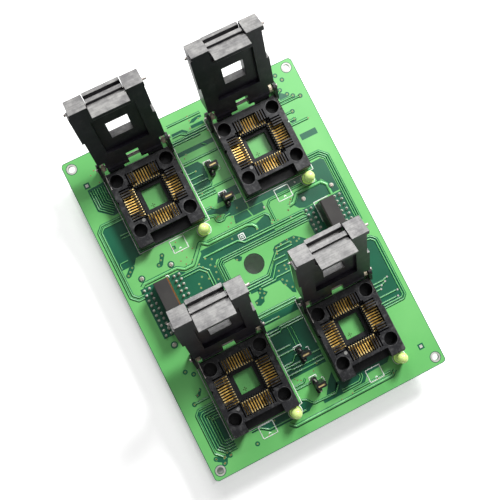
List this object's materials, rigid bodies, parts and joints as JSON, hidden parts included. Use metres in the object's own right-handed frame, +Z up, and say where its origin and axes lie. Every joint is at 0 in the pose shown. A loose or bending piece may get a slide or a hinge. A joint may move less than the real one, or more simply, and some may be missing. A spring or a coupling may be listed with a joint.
{
  "type": "programming socket adapter",
  "caption": "Circuit board carrying hinged clamshell sockets for square chip carriers, with lamps, jumpers and plugs underneath.",
  "frame": {"origin": "centre of the circuit board's underside, in the middle of its four corner holes", "axes": "+X along the board's short side to the right, +Y along its long side towards the socket hinges, +Z up"},
  "size_m": [0.121, 0.1752, 0.0636],
  "materials": {
    "board_mask": "green solder mask over copper, satin gloss",
    "socket_black": "black glass-filled moulding, satin",
    "contact_gold": "gold-plated spring contacts",
    "lid_black": "black moulding, satin sheen",
    "latch_black": "black moulding, satin sheen",
    "pin_steel": "bright steel pin",
    "spring_steel": "drawn spring wire",
    "lamp_lens": "pale yellow-green diffusing lens",
    "tin": "tinned square pins",
    "header_black": "black moulding",
    "link_black": "black moulding",
    "plug_black": "black moulding",
    "block_black": "dark grey moulding",
    "strip_amber": "thin amber film"
  },
  "bodies": {
    "board": {"circuit_board": "board_mask", "socket_base_back_left": "socket_black", "socket_contacts_back_left": "contact_gold", "hinge_pin_back_left": "pin_steel", "hinge_springs_back_left": "spring_steel", "indicator_lamp_back_left": "lamp_lens", "socket_base_back_right": "socket_black", "socket_contacts_back_right": "contact_gold", "hinge_pin_back_right": "pin_steel", "hinge_springs_back_right": "spring_steel", "indicator_lamp_back_right": "lamp_lens", "socket_base_front_left": "socket_black", "socket_contacts_front_left": "contact_gold", "hinge_pin_front_left": "pin_steel", "hinge_springs_front_left": "spring_steel", "indicator_lamp_front_left": "lamp_lens", "socket_base_front_right": "socket_black", "socket_contacts_front_right": "contact_gold", "hinge_pin_front_right": "pin_steel", "hinge_springs_front_right": "spring_steel", "indicator_lamp_front_right": "lamp_lens", "lamp_leads": "tin", "jumper_header_back_outer": "header_black", "jumper_header_back_inner": "header_black", "jumper_header_front_inner": "header_black", "jumper_header_front_outer": "header_black", "jumper_pins": "tin", "plug_housing_left": "plug_black", "plug_pins_left": "tin", "guide_block_left": "block_black", "guide_strip_left": "strip_amber", "plug_housing_right": "plug_black", "plug_pins_right": "tin", "guide_block_right": "block_black", "guide_strip_right": "strip_amber"},
    "lid_back_left": {"socket_lid_back_left": "lid_black", "latch_pin_back_left": "pin_steel"},
    "latch_back_left": {"socket_latch_back_left": "latch_black"},
    "lid_back_right": {"socket_lid_back_right": "lid_black", "latch_pin_back_right": "pin_steel"},
    "latch_back_right": {"socket_latch_back_right": "latch_black"},
    "lid_front_left": {"socket_lid_front_left": "lid_black", "latch_pin_front_left": "pin_steel"},
    "latch_front_left": {"socket_latch_front_left": "latch_black"},
    "lid_front_right": {"socket_lid_front_right": "lid_black", "latch_pin_front_right": "pin_steel"},
    "latch_front_right": {"socket_latch_front_right": "latch_black"},
    "link_back_outer": {"jumper_link_back_outer": "link_black", "jumper_clip_back_outer": "contact_gold"},
    "link_back_inner": {"jumper_link_back_inner": "link_black", "jumper_clip_back_inner": "contact_gold"},
    "link_front_inner": {"jumper_link_front_inner": "link_black", "jumper_clip_front_inner": "contact_gold"},
    "link_front_outer": {"jumper_link_front_outer": "link_black", "jumper_clip_front_outer": "contact_gold"}
  },
  "joints": [
    {"name": "lid_hinge_back_left", "type": "hinge", "parent": "board", "child": "lid_back_left", "pos_m": [-0.0275, 0.0692, 0.0119], "axis": [1, 0, 0], "range_deg": [0, 117.5], "stiffness_Nm_per_rad": 0.004, "springref_deg": -20.05},
    {"name": "latch_pivot_back_left", "type": "hinge", "parent": "lid_back_left", "child": "latch_back_left", "pos_m": [-0.0275, 0.08793, 0.0429], "axis": [1, 0, 0], "range_deg": [-10, 6], "stiffness_Nm_per_rad": 0.004},
    {"name": "lid_hinge_back_right", "type": "hinge", "parent": "board", "child": "lid_back_right", "pos_m": [0.0275, 0.0692, 0.0119], "axis": [1, 0, 0], "range_deg": [0, 117.5], "stiffness_Nm_per_rad": 0.004, "springref_deg": -20.05},
    {"name": "latch_pivot_back_right", "type": "hinge", "parent": "lid_back_right", "child": "latch_back_right", "pos_m": [0.0275, 0.08793, 0.0429], "axis": [1, 0, 0], "range_deg": [-10, 6], "stiffness_Nm_per_rad": 0.004},
    {"name": "lid_hinge_front_left", "type": "hinge", "parent": "board", "child": "lid_front_left", "pos_m": [-0.0275, -0.0263, 0.0119], "axis": [1, 0, 0], "range_deg": [0, 117.5], "stiffness_Nm_per_rad": 0.004, "springref_deg": -20.05},
    {"name": "latch_pivot_front_left", "type": "hinge", "parent": "lid_front_left", "child": "latch_front_left", "pos_m": [-0.0275, -0.00757, 0.0429], "axis": [1, 0, 0], "range_deg": [-10, 6], "stiffness_Nm_per_rad": 0.004},
    {"name": "lid_hinge_front_right", "type": "hinge", "parent": "board", "child": "lid_front_right", "pos_m": [0.0275, -0.0263, 0.0119], "axis": [1, 0, 0], "range_deg": [0, 117.5], "stiffness_Nm_per_rad": 0.004, "springref_deg": -20.05},
    {"name": "latch_pivot_front_right", "type": "hinge", "parent": "lid_front_right", "child": "latch_front_right", "pos_m": [0.0275, -0.00757, 0.0429], "axis": [1, 0, 0], "range_deg": [-10, 6], "stiffness_Nm_per_rad": 0.004},
    {"name": "link_pull_back_outer", "type": "slide", "parent": "board", "child": "link_back_outer", "axis": [0, 0, 1], "range_m": [0, 0.006]},
    {"name": "link_pull_back_inner", "type": "slide", "parent": "board", "child": "link_back_inner", "axis": [0, 0, 1], "range_m": [0, 0.006]},
    {"name": "link_pull_front_inner", "type": "slide", "parent": "board", "child": "link_front_inner", "axis": [0, 0, 1], "range_m": [0, 0.006]},
    {"name": "link_pull_front_outer", "type": "slide", "parent": "board", "child": "link_front_outer", "axis": [0, 0, 1], "range_m": [0, 0.006]}
  ]
}
